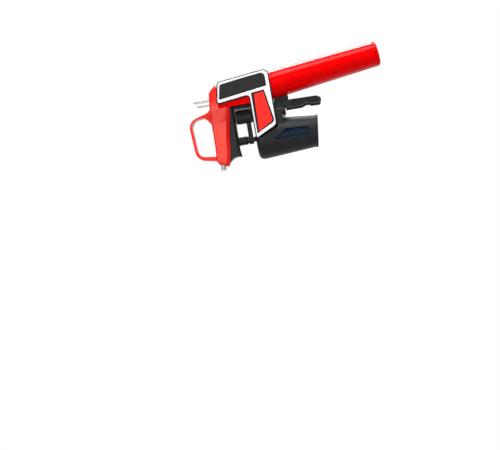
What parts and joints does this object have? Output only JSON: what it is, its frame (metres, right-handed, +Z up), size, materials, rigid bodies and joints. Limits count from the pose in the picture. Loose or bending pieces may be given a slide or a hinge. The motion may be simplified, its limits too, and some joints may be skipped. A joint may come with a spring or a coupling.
{
  "type": "wine preservation dispenser",
  "caption": "Hand-held wine preserver that clamps on a bottle neck, slides a hollow needle through the cork and pours under gas from a spout, with a capsule in its handle.",
  "frame": {"origin": "on the needle axis, in the plane of the clamp sleeve's top face", "axes": "+Z up along the needle axis and the slide, +X from the needle towards the handle, +Y to the dispenser's left side"},
  "size_m": [0.107, 0.0426, 0.2075],
  "materials": {
    "red_gloss": "gloss red enamel",
    "charcoal_plastic": "satin charcoal moulding",
    "black_plastic": "satin black",
    "polished_steel": "polished",
    "satin_silver": "bright satin silver",
    "turned_brass": "turned",
    "navy_rubber": "soft navy lining",
    "black_rubber": "matt black rubber"
  },
  "bodies": {
    "clamp_base": {"base_frame": "charcoal_plastic", "slide_rail_left": "polished_steel", "slide_rail_right": "polished_steel", "hinge_pin_left": "black_plastic", "hinge_pin_right": "black_plastic", "clamp_spring": "polished_steel", "needle_guide": "black_plastic", "bumper_ring": "black_rubber"},
    "clamp_jaw_left": {"jaw_left": "charcoal_plastic", "jaw_pad_left": "navy_rubber"},
    "clamp_jaw_right": {"jaw_right": "charcoal_plastic", "jaw_pad_right": "navy_rubber"},
    "dispenser": {"body_housing": "red_gloss", "head_shell": "red_gloss", "head_underside": "charcoal_plastic", "spout_tube": "polished_steel", "needle_hub": "black_plastic", "needle": "polished_steel", "side_plate_left": "black_plastic", "side_plate_right": "black_plastic", "side_trim_left": "satin_silver", "side_trim_right": "satin_silver", "grip_panel_left": "black_rubber", "grip_panel_right": "black_rubber", "inset_panel_left": "red_gloss", "inset_panel_right": "red_gloss", "plate_screw_left_upper": "polished_steel", "plate_screw_left_lower": "polished_steel", "plate_screw_right_upper": "polished_steel", "plate_screw_right_lower": "polished_steel", "regulator_body": "turned_brass", "regulator_piston": "turned_brass", "regulator_spring": "polished_steel", "pierce_pin": "polished_steel", "capsule_seal": "black_rubber", "valve_body": "turned_brass", "valve_spring": "polished_steel", "gas_tube": "polished_steel", "trigger_pin": "polished_steel", "spout_seal": "black_rubber", "hub_seal": "black_rubber", "channel_liner": "black_plastic"},
    "trigger_lever": {"trigger": "satin_silver"},
    "gas_valve_stem": {"valve_stem": "polished_steel"},
    "capsule": {"gas_capsule": "polished_steel"},
    "cup": {"capsule_cup": "red_gloss", "cup_pad": "black_rubber"}
  },
  "joints": [
    {"name": "body_slide", "type": "slide", "parent": "clamp_base", "child": "dispenser", "axis": [0, 0, 1], "range_m": [0, 0.062]},
    {"name": "jaw_left_hinge", "type": "hinge", "parent": "clamp_base", "child": "clamp_jaw_left", "pos_m": [0.0235, 0.012, -0.028], "axis": [0, 0, -1], "range_deg": [0, 8], "stiffness_Nm_per_rad": 1.2, "springref_deg": -3.44},
    {"name": "jaw_right_hinge", "type": "hinge", "parent": "clamp_base", "child": "clamp_jaw_right", "pos_m": [0.0235, -0.012, -0.028], "axis": [0, 0, 1], "range_deg": [0, 8], "stiffness_Nm_per_rad": 1.2, "springref_deg": -3.44},
    {"name": "trigger_hinge", "type": "hinge", "parent": "dispenser", "child": "trigger_lever", "pos_m": [0.0615, 0, -0.0125], "axis": [0, -1, 0], "range_deg": [0, 5], "stiffness_Nm_per_rad": 2, "springref_deg": -1.15},
    {"name": "valve_stem_slide", "type": "slide", "parent": "dispenser", "child": "gas_valve_stem", "axis": [-1, 0, 0], "range_m": [0, 0.0023]},
    {"name": "capsule_slide", "type": "slide", "parent": "dispenser", "child": "capsule", "axis": [0.1201, 0, -0.9928], "range_m": [0, 0.0075]},
    {"name": "cup_turn", "type": "hinge", "parent": "capsule", "child": "cup", "pos_m": [0.05492, 0, -0.03948], "axis": [0.1201, 0, -0.9928], "range_deg": [0, 1080.5]}
  ],
  "couplings": [
    {"joint": "jaw_right_hinge", "follows": "jaw_left_hinge", "ratio": 1},
    {"joint": "valve_stem_slide", "follows": "trigger_hinge", "m_per_rad": 0.026},
    {"joint": "cup_turn", "follows": "capsule_slide", "rad_per_m": 2513.2}
  ]
}
